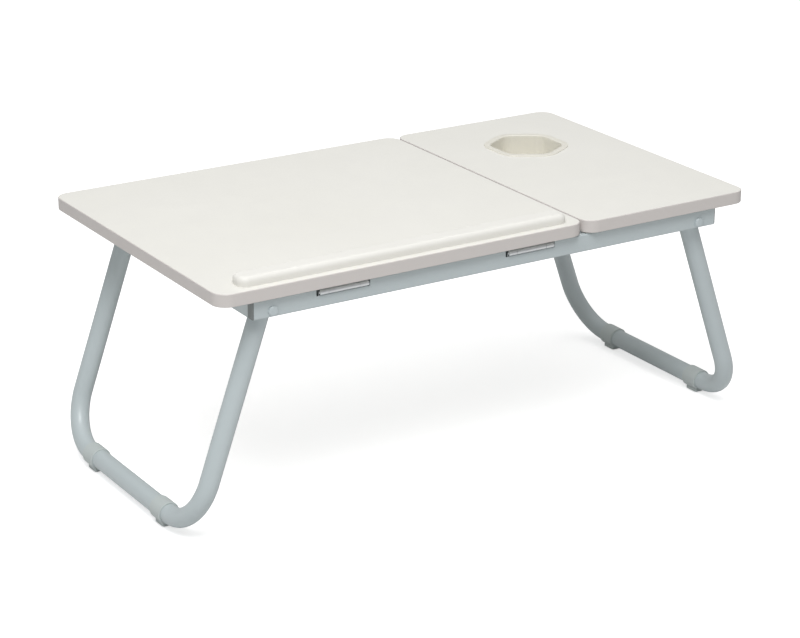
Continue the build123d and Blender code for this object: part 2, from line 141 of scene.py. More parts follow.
class GroupBuilder:
    """Helps to write a shader node group with named sockets."""

    def __init__(self, name: str) -> None:
        """Starts an empty group.

        Args:
            name: The group's name.
        """
        self.tree = bpy.data.node_groups.new(name, "ShaderNodeTree")
        self.inlet = self.tree.nodes.new("NodeGroupInput")
        self.outlet = self.tree.nodes.new("NodeGroupOutput")

    def socket(self, name: str, kind: str, out: bool = False, default: object = None) -> None:
        """Adds one named socket.

        Args:
            name: The socket's name.
            kind: Socket type, such as NodeSocketFloat.
            out: True for an output.
            default: Default value of an input.
        """
        way = "OUTPUT" if out else "INPUT"
        item = self.tree.interface.new_socket(name=name, in_out=way, socket_type=kind)
        if default is not None:
            item.default_value = default

    def node(self, kind: str, **props: object) -> bpy.types.Node:
        """Adds a node and sets its properties.

        Args:
            kind: The node's type name.
            **props: Properties to set on it.

        Returns:
            The new node.
        """
        made = self.tree.nodes.new(kind)
        for key, value in props.items():
            setattr(made, key, value)
        return made

    def link(self, a: bpy.types.NodeSocket, b: bpy.types.NodeSocket) -> None:
        """Joins output a to input b."""
        self.tree.links.new(a, b)

    def noise(
        self,
        vector: bpy.types.NodeSocket,
        scale: object,
        detail: float,
        rough: float = 0.5,
    ) -> bpy.types.NodeSocket:
        """Adds a noise texture.

        Args:
            vector: Coordinates to read.
            scale: A number, or a socket that holds it.
            detail: Octaves of detail.
            rough: Roughness of the octaves.

        Returns:
            The noise factor.
        """
        tex = self.node("ShaderNodeTexNoise")
        self.link(vector, tex.inputs["Vector"])
        if isinstance(scale, bpy.types.NodeSocket):
            self.link(scale, tex.inputs["Scale"])
        else:
            tex.inputs["Scale"].default_value = float(scale)
        tex.inputs["Detail"].default_value = detail
        tex.inputs["Roughness"].default_value = rough
        return tex.outputs["Fac"]

    def math(
        self, op: str, a: object, b: object = 0.0, clamp: bool = False
    ) -> bpy.types.NodeSocket:
        """Adds a math node.

        Args:
            op: The operation.
            a: First value or socket.
            b: Second value or socket.
            clamp: True to hold the result in 0 to 1.

        Returns:
            The result.
        """
        made = self.node("ShaderNodeMath", operation=op, use_clamp=clamp)
        for i, v in enumerate((a, b)):
            if isinstance(v, bpy.types.NodeSocket):
                self.link(v, made.inputs[i])
            else:
                made.inputs[i].default_value = float(v)
        return made.outputs[0]

    def span(
        self,
        value: bpy.types.NodeSocket,
        lo: float,
        hi: float,
        to_lo: object,
        to_hi: object,
    ) -> bpy.types.NodeSocket:
        """Maps a value from one range to another, clamped.

        Args:
            value: The value to map.
            lo: Start of the source range.
            hi: End of the source range.
            to_lo: Start of the target range, a number or a socket.
            to_hi: End of the target range, a number or a socket.

        Returns:
            The mapped value.
        """
        made = self.node("ShaderNodeMapRange")
        self.link(value, made.inputs["Value"])
        made.inputs["From Min"].default_value = lo
        made.inputs["From Max"].default_value = hi
        for name, v in (("To Min", to_lo), ("To Max", to_hi)):
            if isinstance(v, bpy.types.NodeSocket):
                self.link(v, made.inputs[name])
            else:
                made.inputs[name].default_value = float(v)
        return made.outputs["Result"]

    def mix(
        self, factor: object, a: object, b: object, blend: str = "MIX"
    ) -> bpy.types.NodeSocket:
        """Adds a colour mix.

        Args:
            factor: Mix factor, a number or a socket.
            a: First colour or socket.
            b: Second colour or socket.
            blend: Blend mode.

        Returns:
            The mixed colour.
        """
        made = self.node("ShaderNodeMix", data_type="RGBA", blend_type=blend)
        for sock, v in ((made.inputs[0], factor), (made.inputs[6], a), (made.inputs[7], b)):
            if isinstance(v, bpy.types.NodeSocket):
                self.link(v, sock)
            else:
                sock.default_value = v
        return made.outputs[2]


class Effects:
    """The shader groups that the finishes share, each built once."""

    def __init__(self) -> None:
        """Builds every group."""
        self.tone = self._tone()
        self.peel = self._peel()
        self.speckle = self._speckle()
        self.drawn = self._drawn()
        self.scuff = self._scuff()

    @staticmethod
    def _tone() -> bpy.types.NodeTree:
        """Slow colour and gloss drift over a surface.

        Returns:
            The group: Colour and Roughness out.
        """
        g = GroupBuilder("tone_drift")
        g.socket("Colour", "NodeSocketColor", default=(0.8, 0.8, 0.8, 1))
        g.socket("Second Colour", "NodeSocketColor", default=(0.7, 0.7, 0.7, 1))
        g.socket("Scale", "NodeSocketFloat", default=6.0)
        g.socket("Amount", "NodeSocketFloat", default=0.5)
        g.socket("Roughness Low", "NodeSocketFloat", default=0.35)
        g.socket("Roughness High", "NodeSocketFloat", default=0.45)
        g.socket("Colour", "NodeSocketColor", out=True)
        g.socket("Roughness", "NodeSocketFloat", out=True)
        at = g.node("ShaderNodeTexCoord").outputs["Object"]
        broad = g.noise(at, g.inlet.outputs["Scale"], 3.0, 0.55)
        fine = g.noise(at, g.math("MULTIPLY", g.inlet.outputs["Scale"], 9.0), 4.0, 0.6)
        both = g.math("ADD", g.math("MULTIPLY", broad, 0.7), g.math("MULTIPLY", fine, 0.3))
        spread = g.span(both, 0.36, 0.64, 0.0, 1.0)
        amount = g.math("MULTIPLY", spread, g.inlet.outputs["Amount"], clamp=True)
        first, second = g.inlet.outputs["Colour"], g.inlet.outputs["Second Colour"]
        g.link(g.mix(amount, first, second), g.outlet.inputs["Colour"])
        low, high = g.inlet.outputs["Roughness Low"], g.inlet.outputs["Roughness High"]
        g.link(g.span(fine, NOISE_LOW, NOISE_HIGH, low, high), g.outlet.inputs["Roughness"])
        return g.tree

    @staticmethod
    def _peel() -> bpy.types.NodeTree:
        """Orange-peel height of sprayed or baked coatings.

        Returns:
            The group: Height out.
        """
        g = GroupBuilder("orange_peel")
        g.socket("Scale", "NodeSocketFloat", default=900.0)
        g.socket("Fine Share", "NodeSocketFloat", default=0.3)
        g.socket("Height", "NodeSocketFloat", out=True)
        at = g.node("ShaderNodeTexCoord").outputs["Object"]
        cells = g.node("ShaderNodeTexVoronoi", feature="SMOOTH_F1")
        g.link(at, cells.inputs["Vector"])
        g.link(g.inlet.outputs["Scale"], cells.inputs["Scale"])
        cells.inputs["Smoothness"].default_value = 1.0
        fine = g.noise(at, g.math("MULTIPLY", g.inlet.outputs["Scale"], 2.3), 3.0, 0.55)
        grain = g.math("MULTIPLY", fine, g.inlet.outputs["Fine Share"])
        g.link(g.math("ADD", cells.outputs["Distance"], grain), g.outlet.inputs["Height"])
        return g.tree

    @staticmethod
    def _speckle() -> bpy.types.NodeTree:
        """Fine flecks, such as pigment in a coating or nibs in moulded plastic.

        Returns:
            The group: Colour and Mask out.
        """
        g = GroupBuilder("speckle")
        g.socket("Colour", "NodeSocketColor", default=(0.8, 0.8, 0.8, 1))
        g.socket("Fleck Colour", "NodeSocketColor", default=(0.3, 0.3, 0.3, 1))
        g.socket("Scale", "NodeSocketFloat", default=1200.0)
        g.socket("Density", "NodeSocketFloat", default=0.2)
        g.socket("Strength", "NodeSocketFloat", default=0.2)
        g.socket("Colour", "NodeSocketColor", out=True)
        g.socket("Mask", "NodeSocketFloat", out=True)
        at = g.node("ShaderNodeTexCoord").outputs["Object"]
        cells = g.node("ShaderNodeTexVoronoi", feature="F1")
        g.link(at, cells.inputs["Vector"])
        g.link(g.inlet.outputs["Scale"], cells.inputs["Scale"])
        near = g.math("LESS_THAN", cells.outputs["Distance"], g.inlet.outputs["Density"])
        pick = g.node("ShaderNodeSeparateColor")
        g.link(cells.outputs["Color"], pick.inputs["Color"])
        few = g.math("GREATER_THAN", pick.outputs["Red"], FLECK_CUT)
        mask = g.math("MULTIPLY", near, few)
        g.link(mask, g.outlet.inputs["Mask"])
        strength = g.math("MULTIPLY", mask, g.inlet.outputs["Strength"])
        plain, fleck = g.inlet.outputs["Colour"], g.inlet.outputs["Fleck Colour"]
        g.link(g.mix(strength, plain, fleck), g.outlet.inputs["Colour"])
        return g.tree

    @staticmethod
    def _drawn() -> bpy.types.NodeTree:
        """Fine lines along one direction, as on rolled or drawn metal.

        Returns:
            The group: Roughness and Height out.
        """
        g = GroupBuilder("drawn_lines")
        g.socket("Stretch", "NodeSocketVector", default=(40.0, 2600.0, 2600.0))
        g.socket("Roughness Low", "NodeSocketFloat", default=0.25)
        g.socket("Roughness High", "NodeSocketFloat", default=0.45)
        g.socket("Roughness", "NodeSocketFloat", out=True)
        g.socket("Height", "NodeSocketFloat", out=True)
        at = g.node("ShaderNodeTexCoord").outputs["Object"]
        scaled = g.node("ShaderNodeVectorMath", operation="MULTIPLY")
        g.link(at, scaled.inputs[0])
        g.link(g.inlet.outputs["Stretch"], scaled.inputs[1])
        lines = g.noise(scaled.outputs[0], 1.0, 4.0, 0.6)
        low, high = g.inlet.outputs["Roughness Low"], g.inlet.outputs["Roughness High"]
        g.link(g.span(lines, NOISE_LOW, NOISE_HIGH, low, high), g.outlet.inputs["Roughness"])
        g.link(lines, g.outlet.inputs["Height"])
        return g.tree

    @staticmethod
    def _scuff() -> bpy.types.NodeTree:
        """Sparse hairline scratches and handling marks.

        Returns:
            The group: Mask and Height out.
        """
        g = GroupBuilder("hairline_scuffs")
        g.socket("Scale", "NodeSocketFloat", default=14.0)
        g.socket("Coverage", "NodeSocketFloat", default=0.5)
        g.socket("Mask", "NodeSocketFloat", out=True)
        g.socket("Height", "NodeSocketFloat", out=True)
        at = g.node("ShaderNodeTexCoord").outputs["Object"]
        total: bpy.types.NodeSocket | None = None
        for turn, stretch in ((0.35, 26.0), (1.9, 34.0), (2.7, 22.0)):
            spin = g.node("ShaderNodeMapping")
            spin.inputs["Rotation"].default_value = (0.2, 0.15, turn)
            spin.inputs["Scale"].default_value = (1.0, stretch, stretch)
            g.link(at, spin.inputs["Vector"])
            lines = g.noise(spin.outputs["Vector"], g.inlet.outputs["Scale"], 2.0, 0.5)
            off_middle = g.math("ABSOLUTE", g.math("SUBTRACT", lines, 0.5))
            thin = g.span(off_middle, 0.0, HAIRLINE, 1.0, 0.0)
            total = thin if total is None else g.math("MAXIMUM", total, thin)
        patches = g.span(g.noise(at, g.inlet.outputs["Scale"], 2.0), 0.5, 0.62, 0.0, 1.0)
        marks = g.math("MULTIPLY", total, patches)
        mask = g.math("MULTIPLY", marks, g.inlet.outputs["Coverage"], clamp=True)
        g.link(mask, g.outlet.inputs["Mask"])
        g.link(g.math("MULTIPLY", mask, -1.0), g.outlet.inputs["Height"])
        return g.tree


# ---------------------------------------------------------------------------
# Finishes
# ---------------------------------------------------------------------------

Colour = tuple[float, float, float]


def opaque(colour: Colour) -> tuple[float, float, float, float]:
    """Returns the colour with alpha 1."""
    return (*colour, 1.0)


@dataclass(frozen=True)
class Finish:
    """One surface finish.

    Attributes:
        name: Material name.
        texture: Surface character.
        colour: Linear base colour.
        second: Linear colour of the slow drift.
        drift: How far the colour drifts, 0 to 1.
        rough: Lowest and highest roughness.
        metallic: Metallic value.
        specular: Specular level.
        coat: Coat weight.
        grain: Scale of the fine relief, in cells per metre.
        relief: Height of the fine relief, in metres.
        stretch: Direction of drawn lines.
        fleck: Colour of the fine flecks.
        fleck_strength: Strength of the fine flecks.
    """

    name: str
    texture: Texture
    colour: Colour
    second: Colour
    drift: float = 0.5
    rough: tuple[float, float] = (0.35, 0.45)
    metallic: float = 0.0
    specular: float = 0.5
    coat: float = 0.0
    grain: float = 900.0
    relief: float = 0.00002
    stretch: tuple[float, float, float] = (40.0, 2600.0, 2600.0)
    fleck: Colour = (0.3, 0.3, 0.3)
    fleck_strength: float = 0.0

    def build(self, effects: Effects) -> bpy.types.Material:
        """Makes the Blender material.

        Args:
            effects: The shared shader groups.

        Returns:
            The material.
        """
        mat = bpy.data.materials.new(self.name)
        mat.use_nodes = True
        tree = mat.node_tree
        bsdf = tree.nodes["Principled BSDF"]
        bsdf.inputs["Metallic"].default_value = self.metallic
        bsdf.inputs["Specular IOR Level"].default_value = self.specular
        bsdf.inputs["Coat Weight"].default_value = self.coat
        bsdf.inputs["Coat Roughness"].default_value = COAT_ROUGHNESS
        tone = self._group(tree, effects.tone)
        tone.inputs["Colour"].default_value = opaque(self.colour)
        tone.inputs["Second Colour"].default_value = opaque(self.second)
        tone.inputs["Amount"].default_value = self.drift
        tone.inputs["Roughness Low"].default_value = self.rough[0]
        tone.inputs["Roughness High"].default_value = self.rough[1]
        colour, rough = tone.outputs["Colour"], tone.outputs["Roughness"]
        if self.fleck_strength > 0.0:
            fleck = self._group(tree, effects.speckle)
            fleck.inputs["Fleck Colour"].default_value = opaque(self.fleck)
            fleck.inputs["Strength"].default_value = self.fleck_strength
            tree.links.new(colour, fleck.inputs["Colour"])
            colour = fleck.outputs["Colour"]
        if self.texture is Texture.DRAWN_METAL:
            drawn = self._group(tree, effects.drawn)
            drawn.inputs["Stretch"].default_value = self.stretch
            drawn.inputs["Roughness Low"].default_value = self.rough[0]
            drawn.inputs["Roughness High"].default_value = self.rough[1]
            rough, height = drawn.outputs["Roughness"], drawn.outputs["Height"]
        else:
            peel = self._group(tree, effects.peel)
            peel.inputs["Scale"].default_value = self.grain
            height = peel.outputs["Height"]
        bump = tree.nodes.new("ShaderNodeBump")
        bump.inputs["Strength"].default_value = 1.0
        bump.inputs["Distance"].default_value = self.relief
        tree.links.new(height, bump.inputs["Height"])
        normal = bump.outputs["Normal"]
        if self.texture is Texture.SMOOTH_LAMINATE:
            scuff = self._group(tree, effects.scuff)
            second_bump = tree.nodes.new("ShaderNodeBump")
            second_bump.inputs["Distance"].default_value = SCUFF_RELIEF
            tree.links.new(scuff.outputs["Height"], second_bump.inputs["Height"])
            tree.links.new(normal, second_bump.inputs["Normal"])
            normal = second_bump.outputs["Normal"]
        tree.links.new(colour, bsdf.inputs["Base Color"])
        tree.links.new(rough, bsdf.inputs["Roughness"])
        tree.links.new(normal, bsdf.inputs["Normal"])
        return mat

    @staticmethod
    def _group(tree: bpy.types.NodeTree, group: bpy.types.NodeTree) -> bpy.types.Node:
        """Places a shared group in a material."""
        node = tree.nodes.new("ShaderNodeGroup")
        node.node_tree = group
        return node


FINISHES: dict[str, Finish] = {
    "laminate": Finish(
        "board_laminate",
        Texture.SMOOTH_LAMINATE,
        (0.80, 0.79, 0.745),
        (0.765, 0.755, 0.70),
        0.45,
        (0.36, 0.46),
        specular=0.42,
        grain=1300.0,
        relief=0.000006,
    ),
    "edge_band": Finish(
        "board_edge_strip",
        Texture.EDGE_STRIP,
        (0.635, 0.60, 0.58),
        (0.605, 0.575, 0.55),
        0.5,
        (0.42, 0.52),
        specular=0.4,
        grain=1500.0,
        relief=0.00001,
    ),
    "ledge": Finish(
        "ledge_wrap",
        Texture.SMOOTH_LAMINATE,
        (0.81, 0.80, 0.76),
        (0.775, 0.765, 0.715),
        0.45,
        (0.38, 0.48),
        specular=0.42,
        grain=1300.0,
        relief=0.000006,
    ),
    "cup_plastic": Finish(
        "cup_holder_plastic",
        Texture.MOULDED,
        (0.76, 0.74, 0.665),
        (0.72, 0.70, 0.615),
        0.4,
        (0.30, 0.40),
        specular=0.5,
        grain=2400.0,
        relief=0.000008,
    ),
    "powder_coat": Finish(
        "frame_powder_coat",
        Texture.POWDER_COAT,
        (0.52, 0.582, 0.596),
        (0.485, 0.545, 0.56),
        0.5,
        (0.34, 0.46),
        specular=0.5,
        coat=0.25,
        grain=1100.0,
        relief=0.00003,
        fleck=(0.30, 0.35, 0.36),
        fleck_strength=0.12,
    ),
    "rivet_coat": Finish(
        "rivet_powder_coat",
        Texture.POWDER_COAT,
        (0.51, 0.572, 0.59),
        (0.48, 0.537, 0.555),
        0.4,
        (0.32, 0.42),
        specular=0.5,
        coat=0.25,
        grain=1300.0,
        relief=0.00002,
    ),
    "plated_steel": Finish(
        "hinge_plated_steel",
        Texture.DRAWN_METAL,
        (0.76, 0.78, 0.79),
        (0.68, 0.70, 0.71),
        0.5,
        (0.34, 0.50),
        metallic=1.0,
        relief=0.000006,
        stretch=(60.0, 2600.0, 2600.0),
    ),
    "zinc_steel": Finish(
        "zinc_plated_steel",
        Texture.DRAWN_METAL,
        (0.62, 0.63, 0.64),
        (0.56, 0.57, 0.60),
        0.6,
        (0.30, 0.46),
        metallic=1.0,
        relief=0.000008,
        stretch=(900.0, 900.0, 1800.0),
    ),
    "nylon": Finish(
        "natural_nylon",
        Texture.MOULDED,
        (0.76, 0.76, 0.72),
        (0.71, 0.71, 0.67),
        0.4,
        (0.42, 0.52),
        specular=0.45,
        grain=1800.0,
        relief=0.00001,
    ),
    "foot_plastic": Finish(
        "foot_clip_plastic",
        Texture.MOULDED,
        (0.53, 0.58, 0.575),
        (0.49, 0.54, 0.535),
        0.5,
        (0.46, 0.58),
        specular=0.45,
        grain=1600.0,
        relief=0.000015,
    ),
    "rubber_pad": Finish(
        "pad_rubber",
        Texture.RUBBER,
        (0.025, 0.025, 0.025),
        (0.04, 0.04, 0.04),
        0.5,
        (0.72, 0.85),
        specular=0.35,
        grain=1400.0,
        relief=0.00004,
    ),
    "plug_plastic": Finish(
        "rail_plug_plastic",
        Texture.MOULDED,
        (0.20, 0.22, 0.22),
        (0.23, 0.25, 0.25),
        0.5,
        (0.5, 0.62),
        specular=0.4,
        grain=1600.0,
        relief=0.00003,
    ),
}


# ---------------------------------------------------------------------------
# Mesh helpers
# ---------------------------------------------------------------------------


class Shop:
    """Turns point loops into finished pieces and registers them with the frame."""

    def __init__(self, frame: dict[str, object]) -> None:
        """Keeps the frame and builds the materials.
        """
        self.nodes: dict[str, bpy.types.Object] = frame["nodes"]
        effects = Effects()
        self.materials = {slot: finish.build(effects) for slot, finish in FINISHES.items()}

    def dress_frame(self, record: dict[str, object]) -> None:
        """Gives every CAD node the finish of its slot.

        Args:
            record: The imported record.
        """
        for row in record["subparts"]:
            obj = self.nodes[row["node"]]
            obj.data.materials.clear()
            obj.data.materials.append(self.materials[row["material_slot"]])
            LOG.info("dressed %s in %s", row["node"], row["material_slot"])

    def piece(
        self,
        name: str,
        rings: list[Ring],
        slot: str,
        body: str,
        closed: bool = False,
        smooth_angle: float = 40.0,
    ) -> bpy.types.Object:
        """Lofts rings into one piece that rides on a body.

        Args:
            name: The piece's name.
            rings: Loops of points, all of one length.
            slot: The record's material slot.
            body: The CAD body it moves with.
            closed: True to join the last ring to the first, without end caps.
            smooth_angle: Edges sharper than this, in degrees, stay sharp.

        Returns:
            The new object.
        """
        count = len(rings[0])
        verts = [p for ring in rings for p in ring]
        faces: list[tuple[int, ...]] = []
        spans = len(rings) if closed else len(rings) - 1
        for i in range(spans):
            a, b = i * count, ((i + 1) % len(rings)) * count
            for j in range(count):
                k = (j + 1) % count
                faces.append((a + j, a + k, b + k, b + j))
        if not closed:
            faces.append(tuple(reversed(range(count))))
            faces.append(tuple(range(len(verts) - count, len(verts))))
        return self.mesh(name, verts, faces, slot, body, smooth_angle)

    def mesh(
        self,
        name: str,
        verts: Sequence[Vector],
        faces: Sequence[tuple[int, ...]],
        slot: str,
        body: str,
        smooth_angle: float,
    ) -> bpy.types.Object:
        """Makes a smooth-shaded mesh piece that rides on a body.

        Args:
            name: The piece's name.
            verts: Points in the row frame, in metres.
            faces: Vertex indices of each face.
            slot: The record's material slot.
            body: The CAD body it moves with.
            smooth_angle: Edges sharper than this, in degrees, stay sharp.

        Returns:
            The new object.
        """
        data = bpy.data.meshes.new(name)
        data.from_pydata([tuple(v) for v in verts], [], faces)
        data.validate()
        obj = bpy.data.objects.new(name, data)
        bpy.context.scene.collection.objects.link(obj)
        bpy.context.view_layer.objects.active = obj
        obj.select_set(True)
        bpy.ops.object.mode_set(mode="EDIT")
        bpy.ops.mesh.select_all(action="SELECT")
        bpy.ops.mesh.normals_make_consistent(inside=False)
        bpy.ops.object.mode_set(mode="OBJECT")
        obj.select_set(False)
        data.shade_smooth()
        data.set_sharp_from_angle(angle=math.radians(smooth_angle))
        data.materials.append(self.materials[slot])
        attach(obj, body)
        LOG.info("built %s, %d faces, on %s", name, len(data.polygons), body)
        return obj


def circle_ring(centre: Vector, u: Vector, v: Vector, radius: float, count: int) -> Ring:
    """Points of a circle.

    Args:
        centre: The circle's centre.
        u: First unit direction in its plane.
        v: Second unit direction in its plane.
        radius: Radius in metres.
        count: Number of points.

    Returns:
        The points.
    """
    step = 2.0 * math.pi / count
    angles = [i * step for i in range(count)]
    return [centre + (u * math.cos(a) + v * math.sin(a)) * radius for a in angles]


def rounded_hexagon(
    centre: Vector, radius: float, corner: float, z: float, per_corner: int = 10
) -> Ring:
    """A hexagon with rounded corners, one corner pointing along +Y.

    Args:
        centre: Its centre; Z is ignored.
        radius: Distance from the centre to a sharp corner.
        corner: Corner radius.
        z: Height of the loop.
        per_corner: Points on each corner arc.

    Returns:
        The points.
    """
    out: Ring = []
    reach = radius - corner * HEX_STRETCH
    for k in range(6):
        mid = math.radians(90.0 + 60.0 * k)
        hub = Vector((centre.x + reach * math.cos(mid), centre.y + reach * math.sin(mid), z))
        for i in range(per_corner + 1):
            a = mid + math.radians(-30.0 + 60.0 * i / per_corner)
            out.append(hub + Vector((math.cos(a), math.sin(a), 0.0)) * corner)
    return out


def arc_points(
    cx: float, cz: float, radius: float, start: float, end: float, steps: int
) -> Profile:
    """Points of an arc in a profile plane, angles in degrees.

    Args:
        cx: Centre, first coordinate.
        cz: Centre, second coordinate.
        radius: Radius.
        start: First angle.
        end: Last angle.
        steps: Number of spans.

    Returns:
        The points, ends included.
    """
    out = []
    for i in range(steps + 1):
        a = math.radians(start + (end - start) * i / steps)
        out.append((cx + radius * math.cos(a), cz + radius * math.sin(a)))
    return out


# ---------------------------------------------------------------------------
# Sub-assemblies
# ---------------------------------------------------------------------------


@dataclass
class CupHolder:
    """The moulded hexagonal cup well with its rim.

    Attributes:
        shop: Where pieces are made.
        flange: Reach of the rim beyond the mouth.
        rim_height: Height of the rim above the board.
        wall: Wall thickness.
        depth: Depth of the well.
        draft: Inward slope of the walls, in degrees.
        corner: Corner radius at the mouth.
        floor_fillet: Radius where wall meets floor.
        rim_edge: Radius of the rim's outer edge.
        lip: Radius of the rim's inner edge.
        foot_edge: Set-in of the underside's edge.
    """

    shop: Shop
    flange: float = 0.0085
    rim_height: float = 0.0010
    wall: float = 0.0016
    depth: float = 0.030
    draft: float = 3.0
    corner: float = 0.015
    floor_fillet: float = 0.005
    rim_edge: float = 0.0006
    lip: float = 0.0012
    foot_edge: float = 0.0008
    least_corner: float = 0.003

    def build(self) -> None:
        """Builds the well as one smooth shell and hides the plain CAD one."""
        lo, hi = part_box("cup_holder")
        centre = (lo + hi) / 2.0
        top = hi.z
        reach = (hi.y - lo.y) / 2.0
        outer = reach + (self.corner + self.flange) * (HEX_STRETCH - 1.0)
        mouth = outer - self.flange
        slope = math.tan(math.radians(self.draft)) * HEX_STRETCH
        board = top - self.rim_height
        floor_z = board - self.depth
        inside = self._inside(outer, mouth, slope, board, top)
        under = self._underside(mouth, slope, board, floor_z - self.wall, inside[-1][0])
        shell = [self._loop(centre, r, z, mouth) for r, z in [*reversed(under), *inside]]
        obj = self.shop.piece("cup_holder_shell", shell, "cup_plastic", "frame", smooth_angle=50.0)
        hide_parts("cup_holder")

    def _inside(
        self, outer: float, mouth: float, slope: float, board: float, top: float
    ) -> Profile:
        """Profile from the rim's outer edge over the lip and down to the floor.

        Args:
            outer: Hexagon radius of the rim.
            mouth: Hexagon radius of the mouth.
            slope: Loss of radius for each metre down.
            board: Height of the board's face.
            top: Height of the rim.

        Returns:
            Radius and height of each loop.
        """
        edge, lip, fillet = self.rim_edge, self.lip, self.floor_fillet
        out: Profile = [(outer, board)]
        rim = arc_points(0.0, 0.0, edge, 0.0, 90.0, 5)
        out += [(outer - edge + x, board + (self.rim_height - edge) + z) for x, z in rim]
        inner = arc_points(0.0, 0.0, lip, 90.0, 180.0, 6)
        out += [(mouth + lip + x, top - lip + z) for x, z in inner]
        drop = self.depth - fillet
        for i in range(1, 9):
            t = i / 9.0
            out.append((mouth - slope * drop * t, board - drop * t))
        base = mouth - slope * drop
        floor_z = board - self.depth
        turn = arc_points(0.0, 0.0, fillet, 0.0, -90.0, 8)
        out += [(base - fillet + x, floor_z + fillet + z) for x, z in turn]
        out.append((out[-1][0] * 0.5, floor_z))
        return out

    def _underside(
        self, mouth: float, slope: float, board: float, bottom: float, middle: float
    ) -> Profile:
        """Profile from the rim's underside down the outer wall.

        Args:
            mouth: Hexagon radius of the mouth.
            slope: Loss of radius for each metre down.
            board: Height of the board's face.
            bottom: Height of the underside.
            middle: Radius of the innermost loop.

        Returns:
            Radius and height of each loop.
        """
        drop = board - bottom
        out: Profile = []
        for i in range(8):
            t = i / 8.0
            out.append((mouth + self.wall - slope * drop * t, board - drop * t))
        out.append((mouth + self.wall - slope * drop - self.foot_edge, bottom))
        out.append((middle, bottom))
        return out

    def _loop(self, centre: Vector, radius: float, z: float, mouth: float) -> Ring:
        """A loop whose corner radius follows its size."""
        corner = max(self.least_corner, self.corner + (radius - mouth))
        return rounded_hexagon(centre, radius, min(corner, radius * 0.8), z)


@dataclass
class FoldingLeg:
    """One U-shaped tube leg.

    Attributes:
        shop: Where pieces are made.
        side: Which end it stands at.
        tube: Outer radius of the tube.
        wall: Tube wall.
        bend: Centreline radius of the two bends.
        over: Length of tube above the pivot.
        around: Points round the tube.
        straight_spans: Spans of each straight run.
        bend_spans: Spans of each bend.
    """

    shop: Shop
    side: Side
    tube: float = 0.0095
    wall: float = 0.0012
    bend: float = 0.050
    over: float = 0.005
    around: int = 48
    straight_spans: int = 14
    bend_spans: int = 28

    def build(self) -> None:
        """Builds the tube with even, finely divided bends."""
        node = f"{self.side.value}_leg_tube"
        points = self._path()
        outer = self._skin(points, self.tube)
        inner = self._skin(points, self.tube - self.wall)
        rings = outer + list(reversed(inner))
        body = f"{self.side.value}_leg"
        obj = self.shop.piece(
            node + "_drawn", rings, "powder_coat", body, closed=True, smooth_angle=35.0
        )
        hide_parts(node)

    def _path(self) -> list[tuple[Vector, Vector]]:
        """Centreline points with their tangents, from the front end to the back end."""
        s = self.side.sign
        lo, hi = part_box(f"{self.side.value}_leg_tube")
        front_y, back_y = lo.y + self.tube, hi.y - self.tube
        rivet_lo, rivet_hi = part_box(f"front_{self.side.value}_pivot_washer")
        pivot = (rivet_lo + rivet_hi) / 2.0
        bar = Vector((s * (max(abs(lo.x), abs(hi.x)) - self.tube), 0.0, lo.z + self.tube))
        down = Vector((bar.x - pivot.x, 0.0, bar.z - pivot.z))
        length = down.length
        down.normalize()
        out: list[tuple[Vector, Vector]] = []

        def at(y: float, run: float) -> Vector:
            """Point at a Y and a distance down the leg."""
            return Vector((pivot.x, y, pivot.z)) + down * run

        across = Vector((0, 1, 0))
        run_end = length - self.bend
        for i in range(self.straight_spans + 1):
            t = i / self.straight_spans
            out.append((at(front_y, -self.over + (run_end + self.over) * t), down.copy()))
        hub = at(front_y + self.bend, run_end)
        for i in range(1, self.bend_spans + 1):
            a = math.radians(90.0 * i / self.bend_spans)
            c, d = math.cos(a), math.sin(a)
            point = hub - across * self.bend * c + down * self.bend * d
            out.append((point, (down * c + across * d).normalized()))
        for i in range(1, self.straight_spans + 1):
            t = i / self.straight_spans
            y = front_y + self.bend + (back_y - front_y - 2 * self.bend) * t
            out.append((at(y, length), across.copy()))
        hub = at(back_y - self.bend, run_end)
        for i in range(1, self.bend_spans + 1):
            a = math.radians(90.0 * i / self.bend_spans)
            c, d = math.cos(a), math.sin(a)
            point = hub + down * self.bend * c + across * self.bend * d
            out.append((point, (across * c - down * d).normalized()))
        for i in range(1, self.straight_spans + 1):
            t = i / self.straight_spans
            out.append((at(back_y, run_end * (1 - t) - self.over * t), -down))
        return out

    def _skin(self, path: list[tuple[Vector, Vector]], radius: float) -> list[Ring]:
        """Circles along the path.

        Args:
            path: Points and tangents.
            radius: Radius of the skin.

        Returns:
            One ring for each point.
        """
        side = Vector((0, 1, 0)).cross(path[0][1]).normalized()
        rings = []
        for point, tangent in path:
            other = tangent.cross(side).normalized()
            rings.append(circle_ring(point, side, other, radius, self.around))
        return rings


